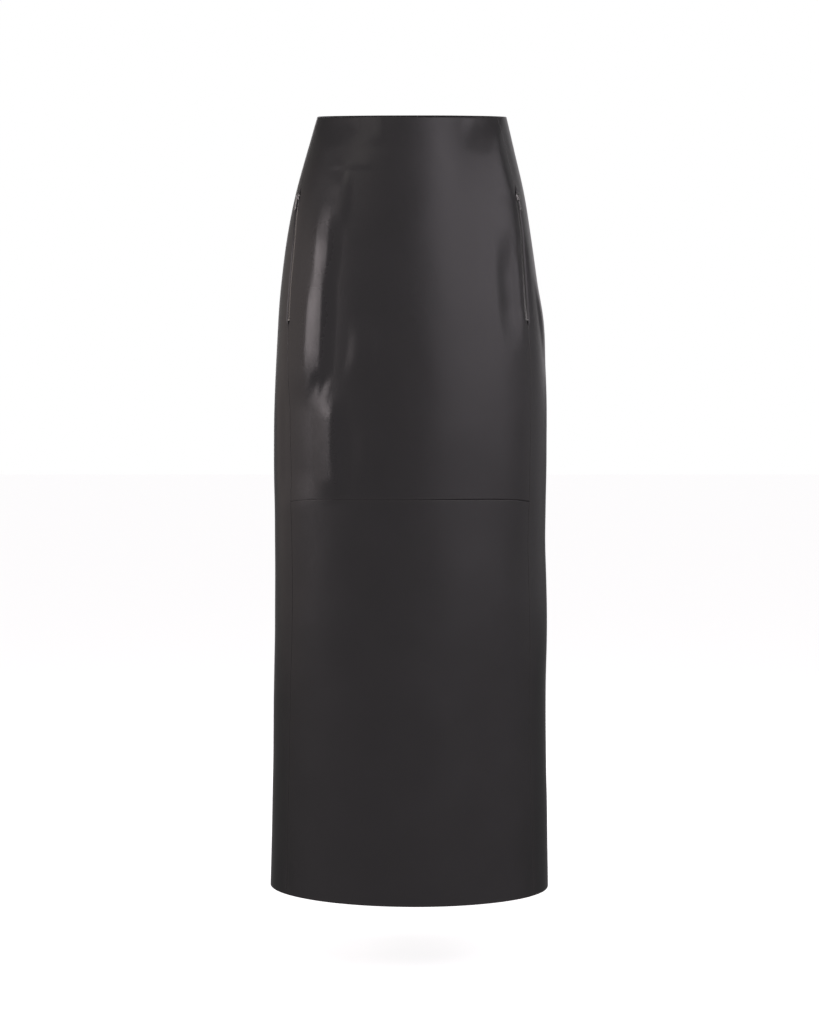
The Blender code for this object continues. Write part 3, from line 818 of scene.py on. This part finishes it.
def cut_plate(outlines, low, high, bevel, steps=2):
    """A plate from low to high with rounded edges. Outlines inside the first one are holes."""
    curve = bpy.data.curves.new("plate", "CURVE")
    curve.dimensions = "2D"
    curve.fill_mode = "BOTH"
    for outline in outlines:
        spline = curve.splines.new("POLY")
        spline.points.add(len(outline) - 1)
        for point, (x, y) in zip(spline.points, outline):
            point.co = (x, y, 0, 1)
        spline.use_cyclic_u = True
    curve.extrude = (high - low) / 2 - bevel
    curve.bevel_depth = bevel
    curve.bevel_resolution = steps
    curve.offset = -bevel
    helper = bpy.data.objects.new("plate", curve)
    mesh = bpy.data.meshes.new_from_object(helper)
    bpy.data.objects.remove(helper)
    made = bmesh.new()
    made.from_mesh(mesh)
    bmesh.ops.remove_doubles(made, verts=made.verts, dist=1e-4)
    bmesh.ops.translate(made, vec=(0, 0, (low + high) / 2), verts=made.verts)
    bmesh.ops.recalc_face_normals(made, faces=made.faces)
    made.to_mesh(mesh)
    made.free()
    return mesh


def joined(name, parts, look):
    """One object from (mesh in millimetres, matrix in millimetres) pairs."""
    made = bmesh.new()
    for mesh, place in parts:
        copy = mesh.copy()
        copy.transform(place)
        made.from_mesh(copy)
        bpy.data.meshes.remove(copy)
    bmesh.ops.scale(made, vec=(MM, MM, MM), verts=made.verts)
    mesh = bpy.data.meshes.new(name)
    made.to_mesh(mesh)
    made.free()
    mesh.materials.clear()
    mesh.materials.append(look)
    mesh.polygons.foreach_set("material_index", np.zeros(len(mesh.polygons), np.int32))
    mesh.shade_smooth()
    mesh.set_sharp_from_angle(angle=math.radians(METAL_SHARP))
    piece = bpy.data.objects.new(name, mesh)
    bpy.context.scene.collection.objects.link(piece)
    return piece


def tape(name):
    """The two woven tapes of a zip, each with a beaded edge along the middle."""
    slider, bottom = ZIPS[name]
    rows = np.arange(slider - TAPE_RISE[name], bottom + TAPE_TAIL, TAPE_ROW)
    columns = spaced(TAPE_PARTING, TAPE_WIDTH / 2, TAPE_COLUMN, TAPE_COLUMN, TAPE_EDGE_STEPS, (0.0,))
    place, reach, height = BEAD
    points, faces = [], []
    for side in (-1, 1):
        across = side * columns
        drops = np.repeat(rows[:, None], len(across), axis=1)
        angles = beside(SEAMS[name](drops), drops, across)
        bead = height * np.exp(-(((np.abs(across) - place) / reach) ** 2)) * (drops < bottom)
        outer = skin(angles, drops, TAPE_FACE + bead)
        inner = skin(angles, drops, TAPE_FACE - TAPE - bead)
        half, quads, _ = closed_sheet(outer, inner)
        faces.append(quads + sum(len(p) for p in points))
        points.append(half)
    both = np.concatenate(points), np.concatenate(faces)
    piece = piece_from("zip_" + name + "_tape", *both, (TAPE_LOOK,))
    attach(piece, "skirt")
    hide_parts("zip_" + name)


def chain(name):
    """The closed chain: teeth from the two sides in turn, and the stop at its foot."""
    slider, bottom = ZIPS[name]
    outline = np.array(TOOTH_OUTLINE)
    right = cut_plate([outline], TOOTH_BOTTOM, TOOTH_TOP, TOOTH_BEVEL, steps=0)
    left = right.copy()
    left.transform(Matrix.Rotation(math.pi, 4, "Z"))
    parts = []
    drop, side = slider + TOOTH_PITCH, 0
    while drop < bottom - CHAIN_FOOT:
        parts.append(((right, left)[side], on_seam(name, drop)))
        drop += TOOTH_PITCH / 2
        side = 1 - side
    stop = cut_plate([rounded(mirrored(STOP_OUTLINE))], STOP_BOTTOM, STOP_TOP, METAL_BEVEL)
    parts.append((stop, on_seam(name, bottom - STOP_RISE)))
    piece = joined("zip_" + name + "_teeth", parts, METAL_LOOK)
    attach(piece, "skirt")


def bridge_outline():
    """The arch that holds the pull tab's bar, as (up the zip, out of the leather) points."""
    foot = SLIDER_CLEAR + PLATE - OVERLAP
    outer, inner = BRIDGE_HOLE + BRIDGE_METAL, BRIDGE_HOLE
    turns = np.linspace(0, math.pi, 13)
    over = [(outer * math.cos(t), BAR_HEIGHT + outer * math.sin(t)) for t in turns]
    under = [(inner * math.cos(t), BAR_HEIGHT + inner * math.sin(t)) for t in turns[::-1]]
    return np.array([(outer, foot)] + over + [(-outer, foot), (-inner, foot)] + under + [(inner, foot)])


def slider_parts():
    """The slider's front and back plates, the step on the front one, the wedge and the bridge."""
    front = SLIDER_CLEAR + PLATE
    plate = rounded(mirrored(PLATE_OUTLINE))
    crown = rounded(mirrored(CROWN_OUTLINE))
    low, high, half = WEDGE
    wedge = np.array(((-half, low), (half, low), (half, high), (-half, high)))
    level = Matrix.Identity(4)
    on_edge = Matrix(((0, 0, 1, 0), (1, 0, 0, 0), (0, 1, 0, 0), (0, 0, 0, 1)))
    return [
        (cut_plate([plate], SLIDER_CLEAR, front, PLATE_BEVEL, steps=3), level),
        (cut_plate([crown], front - OVERLAP, front + CROWN, CROWN_BEVEL), level),
        (cut_plate([plate], BACK_PLATE_FACE - PLATE, BACK_PLATE_FACE, PLATE_BEVEL), level),
        (cut_plate([wedge], BACK_PLATE_FACE - OVERLAP, SLIDER_CLEAR + OVERLAP, WEDGE_BEVEL), level),
        (cut_plate([bridge_outline()], -BRIDGE_HALF, BRIDGE_HALF, BRIDGE_BEVEL), on_edge),
    ]


def pull_tab():
    """The pull tab: a plate with an eye for the bridge at one end and a small hole at the other."""
    top, bottom, half = EYE
    eye = (
        (half, top - EYE_CORNER), (half - EYE_CORNER, top),
        (EYE_CORNER - half, top), (-half, top - EYE_CORNER),
        (-half, bottom + EYE_CORNER), (EYE_CORNER - half, bottom),
        (half - EYE_CORNER, bottom), (half, bottom + EYE_CORNER),
    )
    outlines = [rounded(mirrored(PULL_OUTLINE)), rounded(eye), circle(*PULL_HOLE)]
    return [(cut_plate(outlines, -PULL, PULL, METAL_BEVEL, steps=3), Matrix.Identity(4))]


def metal(kind, name, parts, place, body):
    """A slider or a pull tab of one zip, at its place and on its body."""
    placed = [(mesh, place @ turn) for mesh, turn in parts]
    piece = joined(kind + "_" + name + "_metal", placed, METAL_LOOK)
    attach(piece, body)
    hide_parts(kind + "_" + name)


def sliders():
    parts, tab = slider_parts(), pull_tab()
    bar = Matrix.Translation((0, 0, BAR_HEIGHT))
    for name, (drop, _) in ZIPS.items():
        place = on_seam(name, drop)
        metal("slider", name, parts, place, "skirt")
        metal("pull", name, tab, place @ bar, "tab_" + name)


# ---------------------------------------------------------------------------------------------
# Camera, light and floor
# ---------------------------------------------------------------------------------------------


def camera():
    data = bpy.data.cameras.new("camera")
    data.lens = LENS
    data.sensor_width = SENSOR
    made = bpy.data.objects.new("camera", data)
    made.location = CAMERA_PLACE
    made.rotation_euler = (math.radians(90 - CAMERA_PITCH), 0, 0)
    bpy.context.scene.collection.objects.link(made)
    bpy.context.scene.camera = made


def softbox(name, azimuth, elevation, distance, width, height, radiance, colour):
    """A rectangular light that faces the skirt. Its power follows from its radiance and size."""
    data = bpy.data.lights.new(name, "AREA")
    data.shape = "RECTANGLE"
    data.size, data.size_y = width, height
    data.energy = radiance * math.pi * width * height
    data.color = colour
    turn, rise = math.radians(azimuth), math.radians(elevation)
    way = Vector((math.sin(turn) * math.cos(rise), -math.cos(turn) * math.cos(rise), math.sin(rise)))
    made = bpy.data.objects.new(name, data)
    made.location = AIM + way * distance
    made.rotation_euler = way.to_track_quat("Z", "Y").to_euler()
    bpy.context.scene.collection.objects.link(made)


def white_room():
    """White behind the skirt, and a dimmer room for what its gloss reflects."""
    world = bpy.data.worlds.new("studio")
    bpy.context.scene.world = world
    world.use_nodes = True
    nodes, links = world.node_tree.nodes, world.node_tree.links
    nodes.clear()
    seen, room = nodes.new("ShaderNodeBackground"), nodes.new("ShaderNodeBackground")
    seen.inputs["Color"].default_value = (1, 1, 1, 1)
    way, parts = nodes.new("ShaderNodeTexCoord"), nodes.new("ShaderNodeSeparateXYZ")
    turn, tone = nodes.new("ShaderNodeMapRange"), nodes.new("ShaderNodeValToRGB")
    turn.inputs["From Min"].default_value = -1
    stops = tone.color_ramp.elements
    while len(stops) < len(ROOM):
        stops.new(1.0)
    for stop, (share, colour) in zip(stops, ROOM):
        stop.position = 0.5 + 0.5 * share
        stop.color = (*colour, 1)
    links.new(way.outputs["Generated"], parts.inputs["Vector"])
    links.new(parts.outputs["Y"], turn.inputs["Value"])
    links.new(turn.outputs["Result"], tone.inputs["Fac"])
    links.new(tone.outputs["Color"], room.inputs["Color"])
    path, mix = nodes.new("ShaderNodeLightPath"), nodes.new("ShaderNodeMixShader")
    output = nodes.new("ShaderNodeOutputWorld")
    links.new(path.outputs["Is Camera Ray"], mix.inputs[0])
    links.new(room.outputs[0], mix.inputs[1])
    links.new(seen.outputs[0], mix.inputs[2])
    links.new(mix.outputs[0], output.inputs[0])


def floor():
    """A plain white floor, bright enough to fade into the white behind it."""
    look = Look("white_floor", (0.9, 0.9, 0.9), 0.9)
    look.shader.inputs["Emission Color"].default_value = (1, 1, 1, 1)
    look.shader.inputs["Emission Strength"].default_value = FLOOR_GLOW
    mesh = bpy.data.meshes.new("floor")
    corners = ((-1, -1), (1, -1), (1, 1), (-1, 1))
    points = [(x * FLOOR_REACH, y * FLOOR_REACH, FLOOR) for x, y in corners]
    mesh.from_pydata(points, [], [(0, 1, 2, 3)])
    mesh.materials.append(look.material)
    made = bpy.data.objects.new("floor", mesh)
    bpy.context.scene.collection.objects.link(made)
    made.visible_glossy = False
    made.visible_diffuse = False


def main():
    bpy.context.scene.view_settings.view_transform = "Standard"
    camera()
    white_room()
    floor()
    for name, row in SOFTBOXES.items():
        softbox(name, *row)
    leather_panels()
    for name in ZIPS:
        tape(name)
        chain(name)
    sliders()


main()
